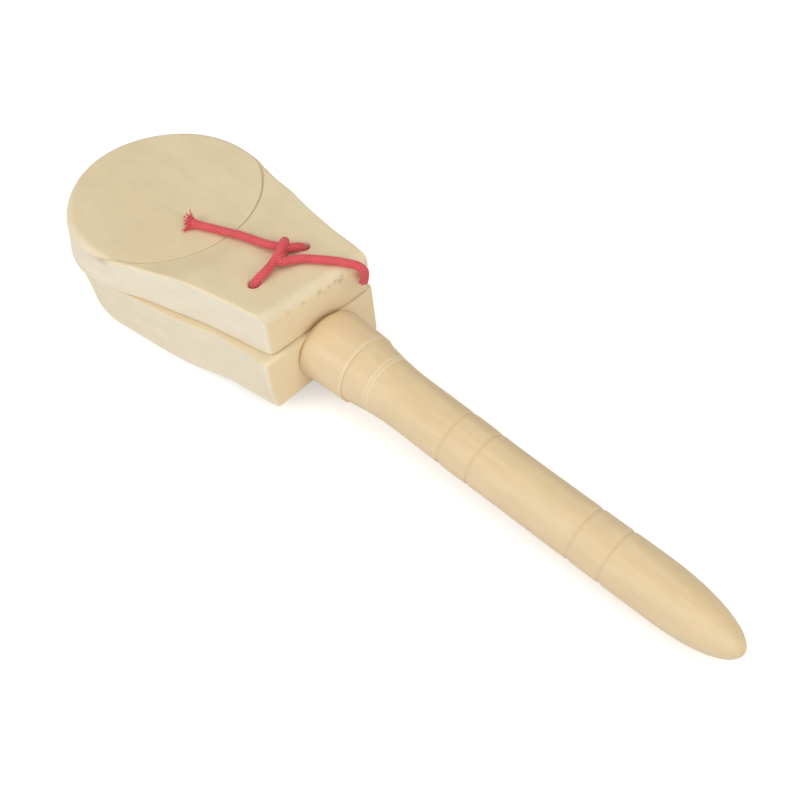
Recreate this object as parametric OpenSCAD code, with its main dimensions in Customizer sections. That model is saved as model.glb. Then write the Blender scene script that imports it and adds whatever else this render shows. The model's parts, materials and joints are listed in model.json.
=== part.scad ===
// Long-handled castanet: a turned handle glued into a fixed wooden shell,
// and a loose upper shell (the clapper) tied over it with elastic cord.
//
// +X runs along the handle towards its tip, +Y is across, +Z is up.
// The origin is the middle of the flat disc face that the castanet lies on.
// Most pieces are drawn in the seam frame: x = 0 at the fixed shell's tail
// end, z = 0 on the fixed shell's inner face, which the clapper lies on.

/* [Shells] */
// Radius of the clapper's round end
clapper_r = 28.2; // [27:0.1:29]
// Radius of the fixed shell's round end, where it meets the clapper
fixed_rim_r = 28.6; // [27.6:0.1:29]
// Radius of the fixed shell's round end at its disc, which is narrower
fixed_r = 26.5; // [25.6:0.1:27.4]
// Distance from the fixed shell's tail end to the centre of its round end
fixed_reach = 63.4; // [61:0.2:66]
// Distance from the fixed shell's tail end to the centre of the clapper's disc
clapper_reach = 64.8; // [62:0.2:67]
// Thickness of the clapper under its flat disc
clapper_t = 11.9; // [11:0.1:13]
// Thickness of the clapper at its tail end
clapper_tail_t = 14.2; // [14:0.1:15]
// Thickness of the fixed shell in the middle of its disc
fixed_t = 19.4; // [19:0.1:21]
// Thickness of the fixed shell at its tail end
fixed_tail_t = 16.8; // [16:0.1:17]
// Half width of the clapper at its tail end
clapper_tail_w = 16.9; // [15:0.1:18]
// Half width of the fixed shell at its tail end
fixed_tail_w = 19.5; // [17:0.1:20]
// Radius of the cutter mark where the clapper's flat disc meets its tail
crease_r = 29.4; // [29:0.1:32]
// Height of the small step at the cutter mark
crease_step = 0.35; // [0.2:0.05:0.7]
// Distance from the disc's centre at which the clapper's tail is fully thick
ramp_r = 40; // [36:0.5:44]
// Radius of the soft outer edge of each shell
edge_r = 2.6; // [1:0.1:3]
// How far the clapper's end stands back from the fixed shell's end
clapper_setback = 0.9; // [0.8:0.1:1.6]
// How far out of square the clapper's end is cut, in degrees
end_skew = 3.4; // [0:0.2:4]
// How far the clapper's end leans over the handle at its far top corner
end_lean = 1.8; // [0:0.2:2.2]
// Gap between the two shells at rest
seam_gap = 0.15; // [0.1:0.05:0.4]
// Sideways shift of the clapper, which the cord holds only loosely
clapper_shift = 0.4; // [0:0.1:0.4]

/* [Bowls] */
// Width of the hollow turned in each shell's inner face
bowl_d = 42; // [36:1:46]
// Depth of each hollow
bowl_depth = 6; // [4:0.5:7]

/* [Handle] */
// Droop of the handle below the seam plane, in degrees
droop = 4.3; // [3.8:0.1:4.6]
// Depth of the handle's centre line below the seam, at the shell's end
axis_drop = 7.4; // [7.2:0.1:8]
// Radius of the collar that butts against the fixed shell
collar_r = 10.5; // [10:0.1:10.6]
// Radius of the grip
grip_r = 8; // [7.6:0.1:8.2]
// Length of the handle in front of the fixed shell
handle_l = 140.6; // [136:0.2:146]
// Length of the round nose
nose_l = 19; // [15:0.5:22]
// Depth of each scored ring groove
groove_depth = 0.5; // [0.3:0.1:0.8]
// Radius of the tenon glued into the fixed shell
tenon_r = 4.5; // [4:0.1:4.7]
// Length of the tenon
tenon_l = 20; // [16:1:22]

/* [Cord] */
// Thickness of the braided elastic cord
cord_d = 2.3; // [2:0.1:2.3]
// Radius of the holes that the cord runs through
cord_hole_r = 1.7; // [1.7:0.05:2]
// Distance of the holes from the fixed shell's end
hole_back = 14; // [13:0.5:15]
// Half the distance between the two holes
hole_half = 9.3; // [9:0.1:10]

/* [Hidden] */
$fn = 96;
wood = [0.93, 0.85, 0.69];
handle_wood = [0.93, 0.82, 0.62];
cord_red = [0.83, 0.16, 0.24];
// glue gap around the tenon and past its end
glue_gap = 0.05;
// facets around the soft edges of the shells
soft_fn = 32;
// larger than any piece, for cuts that go right through
far = 200;
// height of a tail corner's foot, and how much too long and too tall the
// fixed shell is drawn before it is cut back
foot_t = 0.2;
trim = 3;

// the tail's proud part is this much wider at the cutter mark than at its
// end, and starts this far below the cutter mark's top
proud_w = 6.5;
proud_drop = 1.6;
// the cutter clears this deep under the clapper's flat disc
crease_sink = 1;
// where the cutter mark crosses the middle, and the height of its step's top
crease_x = crease_r - clapper_reach;
step_top = clapper_t + crease_step;

// collar, cove and groove places along the handle, from its shoulder
collar_end = 15.8;
cove_end = 31.4;
neck_r = 8.6;
groove_places = [49.2, 59.1, 92.5, 102.4];
groove_half = 0.7;
// the grip keeps one radius from this far past the second groove
grip_start = 7;
// the soft step that ends the collar, and how fast the cove falls away
collar_step = 0.25;
cove_power = 1.6;
// the double score: its middle, the scores' distance from it, depth, half width
score_x = 23.4;
score_off = 0.4;
score_depth = 0.2;
score_half = 0.25;
// bevels at the tenon's end and around the collar's shoulder
tenon_bevel = 0.5;
collar_bevel = 0.4;

// The castanet lies on its disc and on the handle's belly, just past where the
// nose begins. contact_x and contact_z are that place in the seam frame, and
// they set how far the seam plane tilts up towards the handle.
contact_a = 6;
contact_s = handle_l - nose_l + nose_l * sin(contact_a);
contact_r = grip_r * cos(contact_a);
contact_x = contact_s * cos(droop) - contact_r * sin(droop);
contact_z = axis_drop + contact_s * sin(droop) + contact_r * cos(droop);
contact_dist = sqrt(pow(contact_x + fixed_reach, 2) + pow(contact_z, 2));
seam_tilt = atan2(contact_z, contact_x + fixed_reach) - asin(fixed_t / contact_dist);

cord_r = cord_d / 2;
// the cord lies this far off the wood, under the fixed shell and on the clapper
cord_clear = 0.15;
cord_clear_top = 0.3;
cord_fn = 12;
// slope of the fixed shell's underside, from its disc to its tail end
under_run = fixed_reach - fixed_r + edge_r;
under_slope = (fixed_t + (fixed_r - edge_r) * tan(seam_tilt) - fixed_tail_t) / under_run;

// from the origin to the seam frame
module on_seam() {
    translate([0, 0, fixed_t])
        rotate([0, -seam_tilt, 0])
            translate([fixed_reach, 0, 0])
                children();
}

// from the seam frame to the handle's centre line, with z = 0 at its shoulder
module on_handle() {
    translate([0, 0, -axis_drop])
        rotate([0, 90 + droop, 0])
            children();
}

// disc with one soft edge, from z = base up to z = t
module soft_disc(r, base, t) {
    rotate_extrude() {
        translate([0, base]) square([r - edge_r, t - base]);
        translate([0, base]) square([r, t - edge_r - base]);
        translate([r - edge_r, t - edge_r]) circle(edge_r, $fn = soft_fn);
    }
}

// foot and soft top of a tail's corner, whose top leans towards +X
module tail_corner(x, y, t, lean) {
    translate([x, y, 0]) cylinder(r = edge_r, h = foot_t, $fn = soft_fn);
    translate([x + lean, y, t - edge_r]) sphere(edge_r, $fn = soft_fn);
}

// both corners at the tail's end, which is cut skew degrees out of square
// and leans forward at its far top corner
module tail_end(end, w, t, skew, lean) {
    for (side = [-1, 1]) {
        y = side * (w - edge_r);
        tail_corner(end - edge_r + y * tan(skew), y, t, side > 0 ? lean : 0);
    }
}

// shallow dish turned in an inner face, hollow below z = bowl_depth
module bowl(reach) {
    r = (bowl_d * bowl_d / 4 + bowl_depth * bowl_depth) / (2 * bowl_depth);
    translate([-reach, 0, bowl_depth - r]) sphere(r, $fn = 180);
}

// the two cord holes, right through
module cord_holes() {
    for (side = [-1, 1])
        translate([-hole_back, side * hole_half, -far / 2])
            cylinder(r = cord_hole_r, h = far);
}

// what the cutter clears above the clapper's disc: straight down inside the
// cutter mark, and a shallow cone outside it that runs up to the tail's top
module turned_clearance() {
    rise = clapper_tail_t - step_top;
    translate([-clapper_reach, 0, 0])
        rotate_extrude()
            polygon([
                [0, clapper_t - crease_sink], [crease_r, clapper_t - crease_sink],
                [crease_r, step_top], [2 * ramp_r - crease_r, step_top + 2 * rise],
                [0, step_top + 2 * rise]]);
}

// the clapper standing on z = 0: a flat disc, and a tail that rises from the
// cutter mark around it
module clapper_body() {
    end = -clapper_setback;
    union() {
        hull() {
            translate([-clapper_reach, 0, 0]) soft_disc(clapper_r, 0, clapper_t);
            tail_end(end, clapper_tail_w, clapper_t, end_skew, 0);
        }
        difference() {
            hull() {
                translate([-clapper_reach, 0, 0]) soft_disc(clapper_r, 0, step_top - proud_drop);
                tail_end(crease_x, clapper_tail_w + proud_w, clapper_tail_t, 0, 0);
                tail_end(end, clapper_tail_w, clapper_tail_t, end_skew, end_lean);
            }
            turned_clearance();
        }
    }
}

module clapper_shell() {
    color(wood)
        on_seam()
            translate([0, clapper_shift, seam_gap])
                difference() {
                    clapper_body();
                    bowl(clapper_reach);
                    translate([0, -clapper_shift, 0]) cord_holes();
                }
}

// the fixed shell hangs below z = 0, so it is drawn upside down
module fixed_body() {
    intersection() {
        hull() {
            translate([-fixed_reach, 0, 0])
                rotate([0, -seam_tilt, 0])
                    soft_disc(fixed_r, -trim, fixed_t);
            translate([-clapper_reach, 0, 0]) cylinder(r = fixed_rim_r, h = foot_t);
            tail_end(trim, fixed_tail_w, fixed_tail_t, 0, 0);
        }
        translate([-far, -far / 2, 0]) cube([2 * far, far, far]);
    }
}

module fixed_shell() {
    color(wood)
        on_seam()
            difference() {
                mirror([0, 0, 1])
                    difference() {
                        fixed_body();
                        bowl(fixed_reach);
                    }
                // end face, square to the handle
                on_handle() translate([-far / 2, -far / 2, 0]) cube(far);
                // blind bore for the tenon
                on_handle()
                    translate([0, 0, -tenon_l - 2 * glue_gap])
                        cylinder(r = tenon_r + glue_gap, h = tenon_l + 1);
                cord_holes();
            }
}

// radius of the hollow cove between the collar and the neck, at x
function cove_r(x) =
    let(t = (x - collar_end) / (cove_end - collar_end))
    neck_r + (collar_r - collar_step - neck_r) * pow(1 - t, cove_power);

// three corners of a scored groove in a surface of radius r
function groove(x, r, depth, half) = [[r, x - half], [r - depth, x], [r, x + half]];

// half outline of the handle, from the tenon to the tip
function handle_outline() = concat(
    [[0, -tenon_l], [tenon_r - tenon_bevel, -tenon_l], [tenon_r, -tenon_l + tenon_bevel], [tenon_r, 0]],
    [[collar_r - collar_bevel, 0], [collar_r, collar_bevel]],
    [[collar_r, collar_end - collar_step], [collar_r - collar_step, collar_end]],
    [for (x = [collar_end + 1.2 : 1.2 : score_x - 1.2]) [cove_r(x), x]],
    groove(score_x - score_off, cove_r(score_x), score_depth, score_half),
    groove(score_x + score_off, cove_r(score_x), score_depth, score_half),
    [for (x = [score_x + 1.2 : 1.4 : cove_end]) [cove_r(x), x]],
    groove(groove_places[0], neck_r, groove_depth, groove_half),
    groove(groove_places[1], neck_r - 0.1, groove_depth, groove_half),
    [[grip_r, groove_places[1] + grip_start]],
    groove(groove_places[2], grip_r, groove_depth, groove_half),
    groove(groove_places[3], grip_r, groove_depth, groove_half),
    [for (a = [0 : 7.5 : 82.5]) [grip_r * cos(a), handle_l - nose_l + nose_l * sin(a)]],
    [[0, handle_l]]
);

module handle() {
    color(handle_wood)
        on_seam()
            on_handle()
                rotate_extrude($fn = 128)
                    polygon(handle_outline());
}

// height of the clapper's top on its middle line, at x
function top_z(x) =
    x < crease_x ? clapper_t
    : min(clapper_tail_t, step_top + (clapper_tail_t - step_top) * (x - crease_x) / (ramp_r - crease_r));

// height of the cord's centre line over the clapper at x
function cord_z(x) = cord_r + cord_clear_top + seam_gap + top_z(x);

// A place in the cord's path, at x, y and a height above where the cord would
// lie on the clapper
function over(x, y, lift) = [x, y, cord_z(x) + lift];

// The cord runs from its first loose end over the clapper, through the knot,
// down the far hole, under the fixed shell and up the near hole. It then goes
// over and back under the first end, and off over the tail's far corner.
under_z = -(fixed_tail_t + under_slope * hole_back + cord_r + cord_clear);
first_end = [
    over(-47.5, -3.5, 0), over(-40, -0.6, 0), over(-32.4, 2, 0), over(-25.2, 3.2, 0.1),
    over(-21.8, 3.5, 0.2), over(-19, 3.7, 1.1), over(-17, 4, 1.8), over(-15.4, 4.5, 1.8),
    over(-13.9, 7, 0.8),
    over(-hole_back, hole_half, -0.6)];
under_span = [[-hole_back, hole_half, under_z], [-hole_back, -hole_half, under_z]];
second_end = [
    over(-hole_back, -hole_half, -0.6), over(-14.3, -7.4, 0.1), over(-15, -3.5, 0.2),
    over(-15.5, 0, 1.1), over(-15.5, 2.6, 2.9), over(-15.6, 4.5, 3.9), over(-16.3, 6.4, 3),
    over(-17.1, 6.9, 1.2), over(-17.1, 5.4, 0), over(-16.4, 3.8, 0), over(-14.8, 2.4, 0),
    over(-13, 2.4, 0), over(-11.2, 4.3, 0), over(-6.2, 8, 0), over(-2, 10.2, 0.2),
    [1, 12.4, 15.2], [3.2, 15, 13.4], [3.7, 17, 10.6], [3.1, 18.7, 7.6], [2, 19.3, 1.6]];
cord_path = concat(first_end, under_span, second_end);

module elastic_cord() {
    color(cord_red)
        on_seam()
            for (i = [0 : len(cord_path) - 2])
                hull() {
                    translate(cord_path[i]) sphere(cord_r, $fn = cord_fn);
                    translate(cord_path[i + 1]) sphere(cord_r, $fn = cord_fn);
                }
}

handle();
fixed_shell();
clapper_shell();
elastic_cord();
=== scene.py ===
"""Looks of the long-handled castanet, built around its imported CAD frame.

Shapes are worked out in millimetres in the seam frame: x = 0 at the fixed
shell's tail end and growing towards the handle, z = 0 on the face where the
two shells meet. seam_point() carries them into the frame, in metres.
"""
import json
import math
import random

import bmesh
import bpy
from mathutils import Matrix, Vector, noise

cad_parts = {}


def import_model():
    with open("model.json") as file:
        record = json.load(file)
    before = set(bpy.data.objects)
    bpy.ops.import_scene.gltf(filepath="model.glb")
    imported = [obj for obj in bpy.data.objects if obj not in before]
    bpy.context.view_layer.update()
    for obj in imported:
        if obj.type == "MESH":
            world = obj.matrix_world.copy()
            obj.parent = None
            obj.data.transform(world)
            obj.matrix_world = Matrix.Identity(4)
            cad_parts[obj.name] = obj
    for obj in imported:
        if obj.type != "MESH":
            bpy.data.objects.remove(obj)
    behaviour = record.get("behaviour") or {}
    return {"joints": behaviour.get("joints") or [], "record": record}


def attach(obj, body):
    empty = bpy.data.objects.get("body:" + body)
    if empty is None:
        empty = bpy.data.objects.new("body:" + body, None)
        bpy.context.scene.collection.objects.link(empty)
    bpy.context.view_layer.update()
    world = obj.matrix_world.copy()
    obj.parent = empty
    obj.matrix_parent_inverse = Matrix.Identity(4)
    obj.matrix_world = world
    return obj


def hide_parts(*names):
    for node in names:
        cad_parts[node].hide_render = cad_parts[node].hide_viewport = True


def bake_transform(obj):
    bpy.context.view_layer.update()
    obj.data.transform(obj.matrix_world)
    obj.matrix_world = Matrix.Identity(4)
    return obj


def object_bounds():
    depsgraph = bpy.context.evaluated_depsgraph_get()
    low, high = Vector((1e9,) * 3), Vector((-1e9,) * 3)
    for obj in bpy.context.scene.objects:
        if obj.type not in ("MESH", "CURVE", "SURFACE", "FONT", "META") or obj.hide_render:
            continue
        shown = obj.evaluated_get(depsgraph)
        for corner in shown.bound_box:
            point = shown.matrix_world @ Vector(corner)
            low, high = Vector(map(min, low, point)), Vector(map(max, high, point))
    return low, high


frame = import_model()
cad_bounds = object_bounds()
random.seed(7)

MM = 0.001
ACROSS = Vector((0, 1, 0))      # from the near side to the far side
JOINTS = {j["name"]: j for j in frame["joints"]}
MOUNTS = {m["name"]: m for m in frame["record"]["mounts"]}

# ---------------------------------------------------------------- the frame

HOLE_BACK = 14.0        # the cord holes' distance from the fixed shell's end
HOLE_HALF = 9.3         # half the distance between them
HOLE_R = 1.7
GRIP_MID = 93.85        # the grip mount's place along the handle
DISC_BACK = 64.8        # the round ends' centre, back from the fixed shell's end
FIXED_DISC_BACK = 63.4  # the same for the CAD fixed shell, and so for its hollow
CLAPPER_R = 28.6        # the clapper's radius at its round end
CLAPPER_T = 11.9        # the clapper's thickness at its disc
FIXED_T = 19.4          # the fixed shell's thickness at its disc
CLAPPER_SHIFT = 0.4     # how far the clapper sits towards the far side
SEAM_GAP = 0.15         # how far it floats above the fixed shell

seam_normal = Vector(JOINTS["cord_twist"]["axis"]).normalized()
seam_x = Vector((seam_normal.z, 0, -seam_normal.x))
seam_origin = Vector(JOINTS["cord_twist"]["pos_m"]) + seam_x * HOLE_BACK * MM
handle_axis = Vector(MOUNTS["grip"]["axis"]).normalized()
handle_origin = Vector(MOUNTS["grip"]["pos_m"]) - handle_axis * GRIP_MID * MM


def seam_point(x, y, z):
    return seam_origin + (seam_x * x + ACROSS * y + seam_normal * z) * MM


# ---------------------------------------------------------------- small sums

def smooth(a, b, v):
    """0 at and before a, 1 at and beyond b, smooth in between."""
    t = min(max((v - a) / (b - a), 0.0), 1.0)
    return t * t * (3 - 2 * t)


def mix(a, b, t):
    return a + (b - a) * t


def hump(v, middle, width):
    """A smooth hump of height 1 about the middle."""
    return math.exp(-((v - middle) / width) ** 2)


# ---------------------------------------------------------------- meshes

def bands(first, count, steps, wanted=None):
    """Faces between neighbouring rings of count points, from point first on."""
    faces = []
    for r in range(steps):
        base = first + r * count
        for i in range(count):
            j = (i + 1) % count
            if wanted is None or wanted(i, j):
                faces.append((base + i, base + j, base + count + j, base + count + i))
    return faces


def swept_faces(count, rings):
    """Faces of a swept solid: the bands between its rings, and both ends."""
    last = (rings - 1) * count
    ends = [tuple(range(count)), tuple(last + k for k in range(count))]
    return bands(0, count, rings - 1) + ends


def new_mesh(name, verts, faces, marks=None, weld=True):
    """A smooth closed mesh. marks holds extra values per point, by name."""
    mesh = bpy.data.meshes.new(name)
    mesh.from_pydata(verts, [], faces)
    for mark, values in (marks or {}).items():
        mesh.attributes.new(mark, "FLOAT", "POINT").data.foreach_set("value", values)
    mesh.validate()
    bm = bmesh.new()
    bm.from_mesh(mesh)
    if weld:
        bmesh.ops.remove_doubles(bm, verts=bm.verts, dist=0.01 * MM)
    bmesh.ops.recalc_face_normals(bm, faces=bm.faces)
    bm.to_mesh(mesh)
    bm.free()
    for poly in mesh.polygons:
        poly.use_smooth = True
    obj = bpy.data.objects.new(name, mesh)
    bpy.context.collection.objects.link(obj)
    return obj


def lathe(name, profile, origin, axis, segments):
    """Turns (radius, distance) pairs, in mm, around an axis."""
    side = axis.cross(ACROSS).normalized()
    verts = []
    for r, s in profile:
        for k in range(segments):
            a = 2 * math.pi * k / segments
            out = ACROSS * math.cos(a) + side * math.sin(a)
            verts.append(origin + (axis * s + out * r) * MM)
    return new_mesh(name, verts, swept_faces(segments, len(profile)))


def tube(path, radius, around, lift_of, depth):
    """Sweeps a ring along a path without twisting it. Returns mesh data."""
    verts = []
    lifts = []
    across = None
    for i, p in enumerate(path):
        ahead = (path[min(i + 1, len(path) - 1)] - path[max(i - 1, 0)]).normalized()
        if across is None:
            across = ahead.orthogonal().normalized()
        across = (across - ahead * across.dot(ahead)).normalized()
        side = ahead.cross(across)
        r = radius(i)
        for k in range(around):
            a = 2 * math.pi * k / around
            lift = lift_of(k / around, i)
            out = across * math.cos(a) + side * math.sin(a)
            verts.append(p + out * r * (1 - depth + depth * lift))
            lifts.append(lift)
    return verts, swept_faces(around, len(path)), lifts


def tubes_object(name, tubes):
    """One object from several tubes, with the braid's relief as an attribute."""
    verts = []
    faces = []
    lifts = []
    for tube_verts, tube_faces, tube_lifts in tubes:
        base = len(verts)
        verts += [seam_point(*p) for p in tube_verts]
        faces += [tuple(base + i for i in face) for face in tube_faces]
        lifts += tube_lifts
    return new_mesh(name, verts, faces, {"lift": lifts}, weld=False)


# ---------------------------------------------------------------- materials

class Tree:
    """A new material's node tree, with short ways to add the nodes used here."""

    def __init__(self, name):
        self.material = bpy.data.materials.new(name)
        self.material.use_nodes = True
        self.nodes = self.material.node_tree.nodes
        self.links = self.material.node_tree.links
        self.shader = self.nodes["Principled BSDF"]

    def feed(self, socket, value):
        """Sets a socket, or links it when the value is another node's output."""
        if isinstance(value, bpy.types.NodeSocket):
            self.links.new(value, socket)
        elif socket.type == "RGBA":
            socket.default_value = (*value, 1)
        else:
            socket.default_value = value

    def shade(self, values):
        """Feeds the shader's inputs, by name."""
        for name, value in values.items():
            self.feed(self.shader.inputs[name], value)

    def node(self, kind, **values):
        """Adds a node and feeds its inputs, by name."""
        made = self.nodes.new("ShaderNode" + kind)
        for name, value in values.items():
            self.feed(made.inputs[name], value)
        return made

    def maths(self, kind, a, b=0.0, c=0.0):
        made = self.nodes.new("ShaderNodeMath")
        made.operation = kind
        for value, socket in zip((a, b, c), made.inputs):
            self.feed(socket, value)
        return made.outputs[0]

    def blend(self, a, b, amount, mode="MIX"):
        """Blends two colours. A Mix node's colour sockets are numbers 6 and 7."""
        made = self.nodes.new("ShaderNodeMix")
        made.data_type = "RGBA"
        made.blend_type = mode
        for value, number in ((amount, 0), (a, 6), (b, 7)):
            self.feed(made.inputs[number], value)
        return made.outputs[2]

    def ramp(self, source, stops):
        """Turns a value into a colour through (place, colour) stops."""
        made = self.nodes.new("ShaderNodeValToRGB")
        elements = made.color_ramp.elements
        while len(elements) < len(stops):
            elements.new(0.5)
        for element, (place, colour) in zip(elements, stops):
            element.position = place
            element.color = (*colour, 1)
        self.feed(made.inputs["Fac"], source)
        return made.outputs["Color"]

    def grain(self, source, scale, detail, stretch, rough=0.5):
        """Noise whose cells are stretched by the given factors, in 1/metre."""
        mapping = self.node("Mapping", Scale=stretch, Vector=source)
        texture = self.node("TexNoise", Scale=scale, Detail=detail, Roughness=rough,
                            Vector=mapping.outputs["Vector"])
        return texture.outputs["Fac"]

    def mark(self, name):
        """A value that the mesh holds per point."""
        made = self.nodes.new("ShaderNodeAttribute")
        made.attribute_name = name
        return made.outputs["Fac"]

    def relief(self, height, strength, distance):
        """Fine relief, too small to be geometry."""
        bump = self.node("Bump", Strength=strength, Distance=distance, Height=height)
        self.shade({"Normal": bump.outputs["Normal"]})


# Painted shade for the pits in the clapper's end and for its cutter mark.
PAINTED_SHADE = (0.36, 0.24, 0.12)
# Painted highlight colour for edges, corners and the handle's scores.
EDGE_HIGHLIGHT = (0.9, 0.82, 0.65)
END_GRAIN = (0.87, 0.70, 0.44)


def growth_rings(tree, place):
    """Rings, 0 to 1, around a pith well outside the block."""
    sway = tree.grain(place, 1.0, 2, (9, 28, 28))
    split = tree.node("SeparateXYZ", Vector=place).outputs
    y2 = tree.maths("POWER", split[1], 2)
    z2 = tree.maths("POWER", split[2], 2)
    distance = tree.maths("SQRT", tree.maths("ADD", y2, z2))
    phase = tree.maths("MULTIPLY_ADD", sway, 14.0, tree.maths("MULTIPLY", distance, 1500.0))
    return tree.maths("MULTIPLY_ADD", tree.maths("SINE", phase), 0.5, 0.5)


def facings(tree):
    """How far a face looks sideways, and how far it looks along the handle."""
    normal = tree.node("NewGeometry").outputs["True Normal"]
    split = tree.node("SeparateXYZ", Vector=normal).outputs
    upright = tree.maths("ABSOLUTE", split[2])
    along = tree.maths("POWER", tree.maths("ABSOLUTE", split[0]), 4.0)
    side = tree.maths("SUBTRACT", tree.maths("SUBTRACT", 1.0, upright), along)
    return tree.node("Clamp", Value=side).outputs["Result"], along


def wood_material(name, pale, warm, dark, painted_side_light, offset, roughness, turned=False):
    """Pale close-grained wood: very faint growth rings and fibres along X, soft
    mottling and painted pale light on sideways faces. Sawn blocks also get a warmer
    end grain. The marks on the mesh say where painted shade and painted highlight lie."""
    tree = Tree(name)
    coord = tree.node("TexCoord").outputs["Object"]
    place = tree.node("Mapping", Location=offset, Vector=coord).outputs["Vector"]
    fibres = tree.grain(place, 1.0, 5, (90, 2600, 2600), 0.6)
    streaks = tree.grain(place, 1.0, 3, (26, 330, 330))
    mottle = tree.grain(place, 210.0, 4, (0.6, 1, 1))
    cloud = tree.grain(place, 34.0, 2, (0.6, 1, 1))
    side, along = facings(tree)

    colour = tree.ramp(streaks if turned else cloud, [(0.3, pale), (0.7, warm)])
    # Painted pale light: faces that look sideways are blended towards a paler colour.
    colour = tree.blend(colour, painted_side_light, side)
    colour = tree.blend(colour, dark, tree.maths("MULTIPLY", growth_rings(tree, place), 0.035))
    for source, low, high, depth, amount in ((streaks, 0.35, 0.6, 0.9, 0.16),
                                             (fibres, 0.3, 0.6, 0.86, 0.14),
                                             (mottle, 0.38, 0.6, 0.93, 0.45)):
        shadow = (depth, depth * 0.995, depth * 0.98)
        patch = tree.ramp(source, [(low, shadow), (high, (1, 1, 1))])
        colour = tree.blend(colour, patch, amount, "MULTIPLY")
    if not turned:
        colour = tree.blend(colour, END_GRAIN, tree.maths("MULTIPLY", along, 0.9))
    # Painted shade: darker in the end grain's pits and along the cutter mark.
    colour = tree.blend(colour, PAINTED_SHADE, tree.mark("pit_and_crease_shade"))
    # Painted highlight: paler on the shells' edges and corners and on the handle's scores and collar
    # edge.
    colour = tree.blend(colour, EDGE_HIGHLIGHT, tree.mark("edge_highlight"))
    tree.shade({
        "Base Color": colour,
        "Roughness": tree.maths("MULTIPLY_ADD", mottle, 0.16, roughness - 0.08),
        "Specular IOR Level": 0.35,
        "Subsurface Weight": 0.06,
        "Subsurface Radius": (0.004, 0.0025, 0.0012),
        "Subsurface Scale": 0.5,
    })

    height = tree.maths("MULTIPLY_ADD", fibres, 0.5, tree.maths("MULTIPLY", streaks, 0.3))
    height = tree.maths("MULTIPLY_ADD", mottle, 0.6, height)
    if turned:
        tool_marks = tree.grain(place, 1.0, 2, (2600, 12, 12))
        height = tree.maths("MULTIPLY_ADD", tool_marks, 0.8, height)
    tree.relief(height, 0.22, 0.12 * MM)
    return tree.material


def cord_material():
    """Crimson braided yarn: painted shade in the braid's hollows, painted highlight on its crowns."""
    tree = Tree("red_braid")
    coord = tree.node("TexCoord").outputs["Object"]
    fibre = tree.grain(coord, 5200.0, 3, (1, 1, 1), 0.6)
    patch = tree.grain(coord, 260.0, 3, (1, 1, 1))
    # Painted shade and highlight: darker where the braid's relief is low, paler where it stands up.
    tone = tree.ramp(tree.mark("lift"), [(0.1, (0.3, 0.02, 0.03)),
                                         (0.45, (0.62, 0.055, 0.075)),
                                         (0.9, (0.84, 0.135, 0.14))])
    colour = tree.blend(tone, (0.9, 0.16, 0.19), tree.maths("MULTIPLY", patch, 0.3))
    fuzz = tree.ramp(fibre, [(0.35, (0.72, 0.72, 0.72)), (0.65, (1.1, 1.1, 1.1))])
    tree.shade({
        "Base Color": tree.blend(colour, fuzz, 0.5, "MULTIPLY"),
        "Roughness": 0.72,
        "Sheen Weight": 0.35,
        "Sheen Roughness": 0.5,
        "Sheen Tint": (1.0, 0.5, 0.55),
        "Specular IOR Level": 0.3,
    })
    tree.relief(fibre, 0.4, 0.06 * MM)
    return tree.material


# The colour given for sideways faces is painted pale light, not a colour of the wood.
shell_wood = wood_material(
    "shell_wood", pale=(0.80, 0.67, 0.44), warm=(0.77, 0.63, 0.395), dark=(0.62, 0.45, 0.25),
    painted_side_light=(0.87, 0.785, 0.625), offset=(0.0, 0.055, 0.11), roughness=0.62)
fixed_wood = wood_material(
    "fixed_shell_wood", pale=(0.80, 0.665, 0.43), warm=(0.77, 0.625, 0.39), dark=(0.62, 0.45, 0.25),
    painted_side_light=(0.85, 0.76, 0.585), offset=(0.3, -0.07, 0.09), roughness=0.62)
turned_wood = wood_material(
    "turned_wood", pale=(0.82, 0.64, 0.385), warm=(0.74, 0.55, 0.30), dark=(0.56, 0.37, 0.18),
    painted_side_light=(0.80, 0.635, 0.41), offset=(0.7, 0.03, 0.045), roughness=0.5, turned=True)
red_braid = cord_material()


# ---------------------------------------------------------------- shells

RIM = 0.35              # the small break at the inner face's edge
WALL_ROWS = 14
EDGE_ROWS = 14
TAIL_ROWS = 40
CREASE_R = 29.4         # where the disc ends and the tail's top begins
CUT_R = 29.3            # the cutter mark on the clapper


def arc(cx, cy, r, start, end, count):
    """Points and outward directions along an arc, angles in degrees."""
    out = []
    for i in range(count):
        a = math.radians(mix(start, end, i / (count - 1)))
        out.append((cx + r * math.cos(a), cy + r * math.sin(a), math.cos(a), math.sin(a)))
    return out


def straight(p, q, normal, count):
    """Points strictly between p and q, all with the same outward direction."""
    out = []
    for i in range(1, count):
        t = i / count
        out.append((mix(p[0], q[0], t), mix(p[1], q[1], t), *normal))
    return out


def side_lean(spec):
    """The direction in which the far side faces, in degrees from the handle's."""
    dx = spec["end"] - spec["corner_r"] + DISC_BACK
    dy = spec["tail_w"] - spec["corner_r"]
    inner = math.acos((spec["r"] - spec["corner_r"]) / math.hypot(dx, dy))
    return math.degrees(math.atan2(dy, dx) + inner)


def shell_outline(spec):
    """Round end, two tangent sides and a square tail with small corners."""
    corner_r = spec["corner_r"]
    cx = spec["end"] - corner_r
    cy = spec["tail_w"] - corner_r
    lean = side_lean(spec)
    disc = arc(-DISC_BACK, 0, spec["r"], lean, 360 - lean, 120)
    low = arc(cx, -cy, corner_r, -lean, 0, 9)
    high = arc(cx, cy, corner_r, 0, lean, 9)
    near_side = straight(disc[-1], low[0], disc[-1][2:], 150)
    far_side = straight(high[-1], disc[0], disc[0][2:], 150)
    tail = straight(low[-1], high[0], (1, 0), 110)
    return disc + near_side + low + tail + high + far_side


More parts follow.
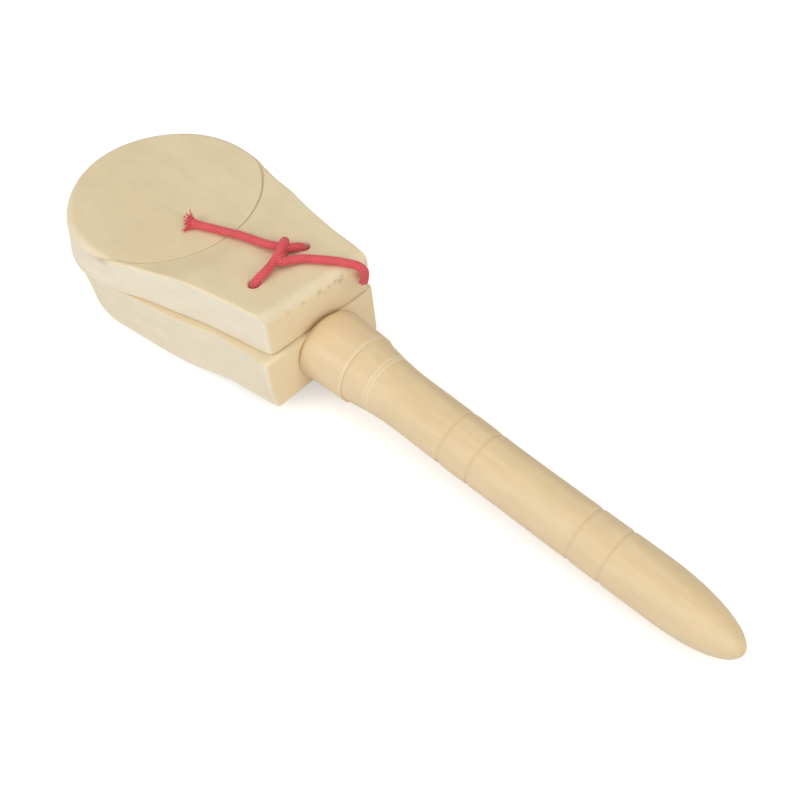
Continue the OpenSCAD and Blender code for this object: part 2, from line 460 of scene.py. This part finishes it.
def soft_edge(spec, px, py, nx, ny):
    """The soft edge at an outline point: how far it reaches in, and down.

    Along the sides it follows the outline inwards. At the tail's end it has
    its own radius, and the corners between them slide in whole."""
    side = spec["side_edge"](px)
    end = spec["end_edge"]
    slope = math.radians(90 - side_lean(spec))
    sign = 1 if py > 0 else -1
    run = (end - math.sin(slope) * side) / math.cos(slope)
    corner_x = spec["end"] - spec["corner_r"]
    if px < corner_x:
        slide = run * smooth(spec["end"] - 14, corner_x, px)
        move = (-nx * side - math.cos(slope) * slide, -ny * side + sign * math.sin(slope) * slide)
    else:
        corner_in = math.cos(slope) * side - math.sin(slope) * run
        straight_half = spec["tail_w"] - spec["corner_r"]
        move = (-end, -sign * corner_in * min(1.0, abs(py) / straight_half))
    return move, mix(side, end, smooth(0.25, 0.95, nx))


def side_rings(outline, edges, tops):
    """Rings of points up the side wall and over the soft edge."""
    rings = []
    for inset, level in ((RIM, 0.0), (RIM * 0.3, RIM * 0.3)):
        rings.append([(px - nx * inset, py - ny * inset, level) for px, py, nx, ny in outline])
    for k in range(WALL_ROWS + 1):
        rings.append([(px, py, mix(RIM, top - drop, k / WALL_ROWS))
                      for (px, py, _, _), (_, drop), top in zip(outline, edges, tops)])
    for k in range(1, EDGE_ROWS + 1):
        a = math.radians(90 * k / EDGE_ROWS)
        over = 1 - math.cos(a)
        rings.append([(px + mx * over, py + my * over, top - drop * (1 - math.sin(a)))
                      for (px, py, _, _), ((mx, my), drop), top in zip(outline, edges, tops)])
    return rings


def disc_rows():
    """Distances from the disc's middle, closely spaced about the cutter mark."""
    rows = [CREASE_R * k / 12 for k in range(1, 12)]
    inner = [-1.2, -0.7, -0.45, -0.3, -0.18, -0.08, 0.0]
    outer = [0.08, 0.18, 0.3, 0.45, 0.6, 0.8, 1.1]
    return rows + [CREASE_R + offset for offset in inner + outer]


def top_rings(border, height):
    """Rings of points over the top, about the disc's middle: the disc's own
    rows first, then rows from there out to the border. Also returns how many
    rows are the disc's, and which border points lie beyond the disc."""
    rays = [(x + DISC_BACK, y) for x, y in border]
    spans = [math.hypot(*ray) for ray in rays]
    rows = disc_rows()
    limit = rows[-1]
    reaches = [[row * min(1.0, span / limit) for span in spans] for row in rows]
    reaches += [[mix(min(limit, span), span, k / TAIL_ROWS) for span in spans]
                for k in range(1, TAIL_ROWS + 1)]
    rings = []
    for reach in reaches:
        places = [(dx * r / span - DISC_BACK, dy * r / span)
                  for (dx, dy), span, r in zip(rays, spans, reach)]
        rings.append([(x, y, height(x, y)) for x, y in places])
    return rings, len(rows), [span > limit for span in spans]


def edge_highlights(outline):
    """How much painted highlight each point of the side rings gets: the tail's
    upright corners most, the soft top edge a little."""
    corners = [0.55 * (1 - abs(2 * smooth(0.05, 0.95, nx) - 1)) if px > -6 and abs(py) > 12 else 0.0
               for px, py, nx, _ in outline]
    highlight_amount = corners * (WALL_ROWS + 3)
    for k in range(1, EDGE_ROWS + 1):
        soft = 0.22 * math.sin(math.pi * k / EDGE_ROWS)
        highlight_amount += [max(soft, corner * (1 - k / EDGE_ROWS)) for corner in corners]
    return highlight_amount


def build_shell(name, spec):
    """A shell standing on z = 0 in the seam frame, turned over if its sign is -1.

    Rings run up the side wall and over the soft edge. The top is a disc in
    rings about its own middle, and a tail that fills the rest of the outline.
    The inner face closes it below."""
    outline = shell_outline(spec)
    count = len(outline)
    edges = [soft_edge(spec, *point) for point in outline]
    border = [(px + mx, py + my) for (px, py, _, _), ((mx, my), _) in zip(outline, edges)]
    tops = [spec["height"](x, y) for x, y in border]
    sides = side_rings(outline, edges, tops)
    top, disc_count, beyond = top_rings(border, spec["height"])
    points = [p for ring in sides + top for p in ring]

    disc_start = len(sides) * count
    disc_end = disc_start + (disc_count - 1) * count
    faces = bands(0, count, len(sides) - 1)
    faces.append(tuple(range(count)))
    faces.append(tuple(range(disc_start, disc_start + count)))
    faces += bands(disc_start, count, disc_count - 1)
    faces += bands(disc_end, count, TAIL_ROWS, lambda i, j: beyond[i] or beyond[j])
    verts = [seam_point(x, y, spec["sign"] * (z + spec["lift"]))
             for x, y, z in (spec["warp"](*p) for p in points)]
    highlight_amount = edge_highlights(outline)
    return new_mesh(name, verts, faces, {"edge_highlight": highlight_amount + [0.0] * (len(points) - len(highlight_amount))})


def clapper_height(x, y):
    """Flat turned disc, a cut line, then a slope up to a proud, level tail."""
    r = math.hypot(x + DISC_BACK, y)
    tail = mix(12.2, 14.1, smooth(29.4, 40.5, r))
    z = mix(CLAPPER_T, tail, smooth(29.25, 29.7, r)) - 0.4 * hump(r, CUT_R, 0.26)
    return z + 0.08 * noise.noise(Vector((x * 0.06, y * 0.09, 3.0)))


def clapper_side_edge(px):
    """Radius of the outer edge: crisp beside the tail, softer at the round end."""
    return 0.85 + 1.75 * smooth(-46, -72, px)


def clapper_warp(x, y, z):
    """The outline is not quite true: the round end has slight flats, the sides
    wander, and the wall flares at the round end's foot. The tail's end is cut
    out of square, and its far side leans over the handle."""
    r = math.hypot(x + DISC_BACK, y)
    turn = math.atan2(y, -DISC_BACK - x)
    rim = smooth(20, 28, r) * smooth(-50, -62, x)
    flare = 1.3 * smooth(-50, -74, x) * max(1 - z / 11.0, 0.0) ** 1.4
    grow = 1 + rim * (0.01 * math.cos(4 * turn) + flare / CLAPPER_R)
    wider = 0.7 * hump(x, -54, 6) - 0.5 * hump(x, -25, 9) + 0.7 * smooth(-14, -5, x)
    x = (x + DISC_BACK) * grow - DISC_BACK
    y = y * grow * (1 + wider / 22.0)
    skew = y * math.tan(math.radians(3.4))
    lean = 2.2 * (y + 17) / 34 * min(z / 11.0, 1.0)
    return x + smooth(-16, -0.7, x) * (skew + lean), y + CLAPPER_SHIFT, z


def fixed_height(x, y):
    """Flat disc parallel to the table, then a tail that thins towards its end."""
    disc = FIXED_T + (x + FIXED_DISC_BACK) * math.tan(math.radians(1.6))
    tail = 17.1 - 0.071 * x
    return min(mix(disc, tail, smooth(-43.5, -38.5, x)), disc - 0.02)


def fixed_side_edge(px):
    """Radius of the outer edge: crisp beside the tail, softer at the round end."""
    return 0.9 + 1.6 * smooth(-46, -70, px)


def fixed_warp(x, y, z):
    """The round end narrows towards the table, the tail's sides dip in and its
    near corner swells towards the seam, and the end face stands a touch proud."""
    taper = smooth(-6, -60, x) * (1 - max(1 - z / FIXED_T, 0.0) ** 1.5)
    if x < -DISC_BACK:
        x = (x + DISC_BACK) * (1 - 0.05 * taper) - DISC_BACK
    x += 0.6 * taper
    y *= 1 - 0.06 * taper
    wider = 0.1 * smooth(-8, 0, x) - hump(x, -19, 9)
    if y < 0:
        wider += (0.3 + 1.2 * smooth(17.5, 9, z)) * smooth(-8, 0, x)
    return x + smooth(-10, 0, x) * (0.5 - 0.01 * z), y * (1 + wider / 20.0), z


CLAPPER = dict(r=CLAPPER_R, tail_w=16.9, end=-0.7, corner_r=1.4, end_edge=3.1, sign=1, lift=SEAM_GAP,
               height=clapper_height, side_edge=clapper_side_edge, warp=clapper_warp)
FIXED = dict(r=28.7, tail_w=19.5, end=0.1, corner_r=1.5, end_edge=0.9, sign=-1, lift=0.0,
             height=fixed_height, side_edge=fixed_side_edge, warp=fixed_warp)


# ---------------------------------------------------------------- cuts in the shells

BOWL_HALF = 21.0
BOWL_DEPTH = 6.0
TENON_R = 4.5
TENON_L = 20.0


def hole_cutters(low, high):
    """Drills for both cord holes, with an eased rim where they leave the wood."""
    rim = [(1.05, -0.6), (0.45, 0.0), (0.12, 0.25), (0.0, 0.45)]
    profile = [(HOLE_R + wider, low + inside) for wider, inside in rim]
    profile += [(HOLE_R + wider, high - inside) for wider, inside in reversed(rim)]
    return [lathe("drill", profile, seam_point(-HOLE_BACK, side * HOLE_HALF, 0), seam_normal, 40)
            for side in (-1, 1)]


def bowl_cutter(back, y, sign, lift):
    """The dish turned in an inner face."""
    r = (BOWL_HALF ** 2 + BOWL_DEPTH ** 2) / (2 * BOWL_DEPTH)
    steps = 28
    profile = []
    for k in range(steps + 1):
        a = mix(0.02, math.asin(BOWL_HALF / r), k / steps)
        profile.append((r * math.sin(a), BOWL_DEPTH - r + r * math.cos(a) + lift))
    profile.append((BOWL_HALF + 0.5, lift - 0.3))
    profile.append((BOWL_HALF + 0.5, lift - 3.0))
    return lathe("dish", profile, seam_point(-back, y, 0), seam_normal * sign, 120)


def tenon_cutter():
    """The blind bore that the handle's tenon is glued into, a hair wider than it."""
    profile = [(TENON_R + 0.05, -TENON_L - 0.1), (TENON_R + 0.05, 3.0)]
    return lathe("bore", profile, handle_origin, handle_axis, 64)


def carve(obj, cutters):
    """Cuts the holes and the hollow out of a shell, and drops the cutters."""
    for cutter in cutters:
        mod = obj.modifiers.new("carve", "BOOLEAN")
        mod.operation = "DIFFERENCE"
        mod.solver = "EXACT"
        mod.object = cutter
    depsgraph = bpy.context.evaluated_depsgraph_get()
    mesh = bpy.data.meshes.new_from_object(obj.evaluated_get(depsgraph))
    obj.modifiers.clear()
    old = obj.data
    obj.data = mesh
    bpy.data.meshes.remove(old)
    for cutter in cutters:
        bpy.data.objects.remove(cutter)
    for poly in obj.data.polygons:
        poly.use_smooth = True
    obj.data.set_sharp_from_angle(angle=math.radians(38))


# (y, z, size, depth) of each pit in the clapper's end grain
PITS = [(1.2, 11.6, 0.6, 0.5), (4.3, 11.5, 0.5, 0.4), (6.6, 11.9, 0.55, 0.5), (8.2, 11.2, 0.7, 0.55),
        (9.0, 12.4, 0.45, 0.4), (-4.4, 11.4, 0.45, 0.35), (-9.2, 11.6, 0.4, 0.3),
        (12.4, 10.8, 0.45, 0.35), (2.6, 10.4, 0.35, 0.25), (-12.8, 10.2, 0.35, 0.2)]


def age_clapper(obj):
    """Torn end grain: a few pits just below the soft edge of the clapper's end.
    They are darkened with painted shade, and so is the cutter mark around the disc."""
    pit_and_crease_shade = obj.data.attributes.new("pit_and_crease_shade", "FLOAT", "POINT").data
    for i, v in enumerate(obj.data.vertices):
        local = v.co - seam_origin
        x = local.dot(seam_x) / MM
        y = local.y / MM
        z = local.dot(seam_normal) / MM
        if x < -6:
            cut = hump(math.hypot(x + DISC_BACK, y - CLAPPER_SHIFT), CUT_R, 0.28)
            # Painted shade along the cutter mark around the disc.
            pit_and_crease_shade[i].value = 0.42 * cut * smooth(8, 11, z)
            continue
        rough = 0.07 * noise.noise(Vector((x, y, z)) * 0.9) * smooth(-4.5, -2.5, x)
        sink = sum(depth * hump(math.hypot((y - py) * 0.8, z - pz), 0, size)
                   for py, pz, size, depth in PITS)
        sink *= smooth(-5, -3, x)
        # Painted shade in the pits, as deep as the pits are sunk.
        pit_and_crease_shade[i].value = min(sink * 0.8, 0.45)
        v.co -= (seam_x * (sink + rough)) * MM


clapper = build_shell("clapper_wood", CLAPPER)
age_clapper(clapper)
carve(clapper, hole_cutters(-0.2, clapper_height(-HOLE_BACK, 0) + SEAM_GAP)
      + [bowl_cutter(DISC_BACK, CLAPPER_SHIFT, 1, SEAM_GAP)])
clapper.data.materials.append(shell_wood)
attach(clapper, "clapper")
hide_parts("clapper_shell")

fixed = build_shell("fixed_shell_wood", FIXED)
carve(fixed, hole_cutters(-fixed_height(-HOLE_BACK, 0), 0.2)
      + [bowl_cutter(FIXED_DISC_BACK, 0, -1, 0), tenon_cutter()])
fixed.data.materials.append(fixed_wood)
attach(fixed, "fixed")
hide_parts("fixed_shell")


# ---------------------------------------------------------------- handle

COLLAR_R = 10.5
COLLAR_END = 15.8
COVE_END = 31.4
NECK_R = 8.15
GRIP_R = 7.88
HANDLE_L = 140.6
NOSE_L = 30.0
SCORES = (22.9, 24.0)
GROOVES = (49.2, 59.1, 92.5, 102.4)


def handle_radius(s):
    """Collar, a soft step, the hollow cove, the grip and the nose."""
    if s < COLLAR_END:
        r = mix(COLLAR_R + 0.4, COLLAR_R - 0.2, s / COLLAR_END) - 0.7 * smooth(1.6, 0, s)
    elif s < COVE_END:
        t = (s - COLLAR_END) / (COVE_END - COLLAR_END)
        r = NECK_R + (COLLAR_R - 0.6 - NECK_R) * (1 - t) ** 1.6
    elif s > HANDLE_L - NOSE_L:
        t = (s - HANDLE_L + NOSE_L) / NOSE_L
        r = GRIP_R * math.sqrt(max(1 - t ** 2.6, 0.0))
    else:
        r = mix(NECK_R, GRIP_R, smooth(52, 66, s))
    if s < 0.7:
        r -= 0.5 * (1 - s / 0.7) ** 2
    return r


def groove_depth(s):
    """Cut rings: a soft step at the collar, two fine scores, four soft grooves."""
    depth = 0.06 * hump(s, COLLAR_END, 0.6)
    depth += 0.17 * sum(hump(s, place, 0.3) for place in SCORES)
    return depth + 0.42 * sum(hump(s, place, 0.52) for place in GROOVES)


def handle_highlights(s):
    """Painted highlight: the two scores and the collar's edge are painted paler."""
    return 0.25 * hump(s, 15.3, 0.4) + 0.5 * sum(hump(s, place, 0.22) for place in SCORES)


def handle_profile():
    """(radius, distance) pairs: the tenon, the turned outside, then the nose."""
    profile = [(TENON_R - 0.5, -TENON_L), (TENON_R, -TENON_L + 0.5), (TENON_R, -0.02), (9.9, 0.0)]
    s = 0.12
    while s < HANDLE_L - NOSE_L:
        profile.append((handle_radius(s) - groove_depth(s), s))
        nearest = min(abs(s - place) for place in (0, COLLAR_END, *SCORES, *GROOVES))
        s += 0.12 if nearest < 1.5 else 0.8
    nose_rows = 52
    for k in range(nose_rows):
        s = HANDLE_L - NOSE_L * (1 - k / nose_rows) ** 1.7
        profile.append((handle_radius(s), s))
    profile.append((0.15, HANDLE_L - 0.01))
    return profile


def bend(s):
    """The turned handle has warped a little: how far across and how far up."""
    root = (1 - smooth(4, 85, s)) * smooth(-0.1, 3, s)
    tip = smooth(112, 141, s)
    return 0.6 * root - 0.55 * tip, 0.6 * root - 0.25 * tip


def age_handle(obj):
    """Marks the painted highlight on the rings, takes a hair's breadth off unevenly, and bends it."""
    edge_highlight = obj.data.attributes.new("edge_highlight", "FLOAT", "POINT").data
    for i, v in enumerate(obj.data.vertices):
        s = (v.co - handle_origin).dot(handle_axis) / MM
        edge_highlight[i].value = handle_highlights(s)
        if s > 1:
            out = (v.co - handle_origin) - handle_axis * s * MM
            wobble = noise.noise(Vector((s * 0.05, out.y * 120, out.z * 120)))
            v.co -= out.normalized() * (0.035 + 0.035 * wobble) * MM
        v.co += Vector((0, *bend(s))) * MM


handle = lathe("handle_turned", handle_profile(), handle_origin, handle_axis, 144)
age_handle(handle)
handle.data.set_sharp_from_angle(angle=math.radians(50))
handle.data.materials.append(turned_wood)
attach(handle, "fixed")
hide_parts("handle")


# ---------------------------------------------------------------- cord

CORD_R = 1.24
CORD_STEP = 0.16        # distance between the rings of the braid's mesh
CARRIERS = 8            # waves of yarn around the braid, each way
PITCH = 7.5             # how far a yarn runs along the cord in one turn

# (x, y, lift) along the loose end: from its frayed tip, through the knot, to the far hole
FIRST_END = [(-45.9, -3.35, 0.0), (-42.5, -2.1, 0.0), (-38.8, -0.75, 0.0), (-34.8, 0.3, 0.1),
             (-31.0, 0.95, 0.2), (-27.5, 1.25, 0.1), (-24.5, 1.6, 0.1), (-22.0, 2.1, 0.3),
             (-19.6, 2.7, 0.6), (-17.6, 3.3, 0.8), (-16.0, 4.3, 0.7), (-14.9, 5.6, 0.3),
             (-14.15, 7.2, -0.2), (-13.9, 8.5, -1.1), (-14.0, 9.3, -2.8)]
# the same from the near hole, over and back under the first end, to the tail's far corner
SECOND_END = [(-14.0, -9.3, -2.4), (-13.5, -8.8, -0.7), (-13.2, -7.6, 0.15), (-13.4, -5.3, 0.3),
              (-13.9, -2.7, 0.5), (-14.5, 0.0, 1.1), (-15.2, 2.2, 1.8), (-15.9, 3.9, 2.2),
              (-16.8, 5.2, 1.8), (-17.4, 5.9, 0.8), (-17.1, 5.3, -0.1), (-16.1, 3.9, -0.3),
              (-14.9, 2.3, 0.0), (-13.8, 0.8, 0.6), (-13.0, -0.1, 0.9), (-12.1, 0.0, 0.9),
              (-11.4, 1.5, 0.6), (-10.5, 3.4, 0.3), (-8.3, 5.6, 0.1), (-5.5, 7.4, 0.1),
              (-2.6, 9.3, 0.0)]
# (x, y, z) where it bends over that corner and hangs down
OVER_CORNER = [(0.4, 10.8, 15.5), (2.1, 11.5, 15.5), (3.5, 12.3, 15.2), (4.5, 12.9, 14.5),
               (4.9, 13.5, 13.3), (4.6, 13.9, 11.6), (4.0, 14.1, 9.7), (3.3, 14.4, 7.8)]


def lying(x, y, lift):
    """A place of the cord's centre line when it lies on the clapper."""
    return Vector((x, y, clapper_height(x, y) + SEAM_GAP + CORD_R + 0.03 + lift))


def cord_path():
    """From the loose end, through the half knot, down the far hole, under the
    fixed shell, up the near hole, over and back under the first end, and off
    over the tail's far corner."""
    under = -fixed_height(-HOLE_BACK, 0) - CORD_R - 0.05
    far_leg = [(HOLE_HALF, 6), (HOLE_HALF, 0), (HOLE_HALF, -8), (HOLE_HALF, under + 2.2),
               (HOLE_HALF - 0.5, under + 0.5), (HOLE_HALF - 2.2, under)]
    near_leg = [(-y, z) for y, z in reversed(far_leg)]
    through = [Vector((-HOLE_BACK, y, z)) for y, z in far_leg + [(0, under - 0.02)] + near_leg]
    first_end = [lying(*place) for place in FIRST_END]
    second_end = [lying(*place) for place in SECOND_END]
    return first_end + through + second_end + [Vector(place) for place in OVER_CORNER]


def hermite(p0, p1, p2, p3, count):
    """Points on a smooth curve from p1 towards p2, with p0 before and p3 after
    them. Each span counts by its length's root, so uneven ones don't overshoot."""
    k0 = math.sqrt((p1 - p0).length)
    k1 = math.sqrt((p2 - p1).length)
    k2 = math.sqrt((p3 - p2).length)
    m1 = (p2 - p1) + k1 * ((p1 - p0) / k0 - (p2 - p0) / (k0 + k1))
    m2 = (p2 - p1) + k1 * ((p3 - p2) / k2 - (p3 - p1) / (k1 + k2))
    out = []
    for j in range(count):
        t = j / count
        out.append(p1 * (2 * t ** 3 - 3 * t ** 2 + 1) + m1 * (t ** 3 - 2 * t ** 2 + t)
                   + p2 * (3 * t ** 2 - 2 * t ** 3) + m2 * (t ** 3 - t ** 2))
    return out


def smooth_path(points, step):
    """Evenly spaced points on a smooth curve through the given ones."""
    ends = [points[0] * 2 - points[1]] + points + [points[-1] * 2 - points[-2]]
    dense = []
    for i in range(1, len(ends) - 2):
        dense += hermite(*ends[i - 1:i + 3], 40)
    dense.append(points[-1])
    even = [dense[0]]
    need = step
    for a, b in zip(dense, dense[1:]):
        span = (b - a).length
        while span > 0 and need <= span:
            even.append(a.lerp(b, need / span))
            need += step
        need -= span
    return even


def braid_lift(around, along):
    """How far the braid stands up: two opposed sets of yarns, one over the
    other in turn. around runs 0 to 1, along is in mm."""
    left = CARRIERS * (around + along / PITCH)
    right = CARRIERS * (around - along / PITCH)
    a = abs(math.sin(math.pi * left))
    b = abs(math.sin(math.pi * right))
    turn = 0.5 + 0.5 * math.sin(math.pi * (left + right)) * math.cos(math.pi * (left - right))
    return mix(a, b, smooth(0.35, 0.65, turn))


def braid_radius(i):
    """The cord swells at its loose end and is never quite even."""
    along = i * CORD_STEP
    return CORD_R * (1 + 0.12 * math.exp(-along / 0.8) + 0.02 * noise.noise(Vector((along * 0.3, 0, 5))))


def fray_strand(tip, ahead, reach, spread):
    """One loose yarn end: a thin tube that leans out of the cut end and curls."""
    a = 2 * math.pi * random.random()
    out = math.sqrt(random.random()) * CORD_R * 0.95
    side = ahead.orthogonal().normalized()
    away = side * math.cos(a) + ahead.cross(side) * math.sin(a)
    root = tip - ahead * 0.8 + away * out
    length = reach * (0.45 + 0.55 * random.random())
    lean = away * spread * (0.3 + 0.7 * random.random()) * (out / CORD_R)
    curl = Vector((random.uniform(-1, 1), random.uniform(-1, 1), random.uniform(-0.5, 0.8))) * 0.5
    points = [root,
              root + ahead * (0.8 + length * 0.35) + lean * 0.25,
              root + ahead * (0.8 + length * 0.7) + lean * 0.7 + curl * 0.4,
              root + ahead * (0.8 + length) + lean * 1.1 + curl]
    if tip.z > 9:
        wood = clapper_height(root.x, root.y) + 0.3
        for p in points:
            p.z = max(p.z, wood)
    strand = smooth_path(points, 0.3)
    thick = random.uniform(0.14, 0.26)
    last = len(strand) - 1
    return tube(strand, lambda i: thick * (1 - 0.6 * i / last), 6, lambda u, i: 0.5 + 0.4 * u, 0.0)


def fray(name, tip, behind, count, reach, spread):
    """Loose yarn ends that fan out of a cut end of the cord."""
    ahead = (tip - behind).normalized()
    obj = tubes_object(name, [fray_strand(tip, ahead, reach, spread) for _ in range(count)])
    obj.data.materials.append(red_braid)
    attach(obj, "clapper")


path = smooth_path(cord_path(), CORD_STEP)
cord = tubes_object("elastic_braid", [
    tube(path, braid_radius, 48, lambda u, i: braid_lift(u, i * CORD_STEP), 0.09)])
cord.data.materials.append(red_braid)
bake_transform(cord)
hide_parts("elastic_cord")
fray("first_end_fray", path[0], path[3], 78, 2.9, 2.9)
fray("second_end_fray", path[-1], path[-4], 26, 0.9, 0.5)


# ---------------------------------------------------------------- studio

def floor():
    """A plain pale floor that shows as near white to the camera."""
    mesh = bpy.data.meshes.new("floor")
    bm = bmesh.new()
    bmesh.ops.create_grid(bm, x_segments=2, y_segments=2, size=3.0)
    bm.to_mesh(mesh)
    bm.free()
    obj = bpy.data.objects.new("floor", mesh)
    obj.location = (0, 0, cad_bounds[0][2] - 0.2 * MM)
    bpy.context.collection.objects.link(obj)
    tree = Tree("pale_floor")
    seen = tree.node("LightPath").outputs["Is Camera Ray"]
    tree.shade({
        "Base Color": (0.82, 0.82, 0.82),
        "Roughness": 0.9,
        "Specular IOR Level": 0.1,
        "Emission Color": (1, 1, 1),
        "Emission Strength": tree.maths("MULTIPLY", seen, 0.42),
    })
    mesh.materials.append(tree.material)


def world(strength):
    """Even white light from all around."""
    made = bpy.data.worlds.new("studio")
    made.use_nodes = True
    background = made.node_tree.nodes["Background"]
    background.inputs["Color"].default_value = (1, 1, 1, 1)
    background.inputs["Strength"].default_value = strength
    bpy.context.scene.world = made


def area_light(name, place, size, power, colour=(1, 1, 1)):
    """A soft square light, aimed at the middle of the castanet."""
    target = Vector((0.08, 0, 0.02))
    data = bpy.data.lights.new(name, "AREA")
    data.energy = power
    data.size = size
    data.color = colour
    obj = bpy.data.objects.new(name, data)
    obj.location = place
    obj.rotation_euler = (target - Vector(place)).to_track_quat("-Z", "Y").to_euler()
    bpy.context.collection.objects.link(obj)


def camera():
    """Looks down on the castanet from beside the end of its handle."""
    target = Vector((0.09371, -0.00132, 0.01403))
    distance = 0.38879
    azimuth = math.radians(-41.555)
    elevation = math.radians(49.875)
    roll = math.radians(-5.974)
    level = math.cos(elevation)
    back = Vector((math.cos(azimuth) * level, math.sin(azimuth) * level, math.sin(elevation)))
    data = bpy.data.cameras.new("camera")
    data.lens = 65.84
    data.sensor_width = 36
    obj = bpy.data.objects.new("camera", data)
    turn = back.to_track_quat("Z", "Y").to_matrix() @ Matrix.Rotation(roll, 3, "Z")
    obj.matrix_world = Matrix.Translation(target + back * distance) @ turn.to_4x4()
    bpy.context.collection.objects.link(obj)
    bpy.context.scene.camera = obj


floor()
world(0.45)
area_light("key", (-0.25, -0.75, 0.55), 0.5, 3.5, (1, 0.99, 0.97))
area_light("top", (0.15, 0.1, 1.0), 0.9, 2.45)
area_light("side", (0.9, -0.1, 0.45), 0.6, 2.8)
camera()
bpy.context.scene.view_settings.view_transform = "Standard"
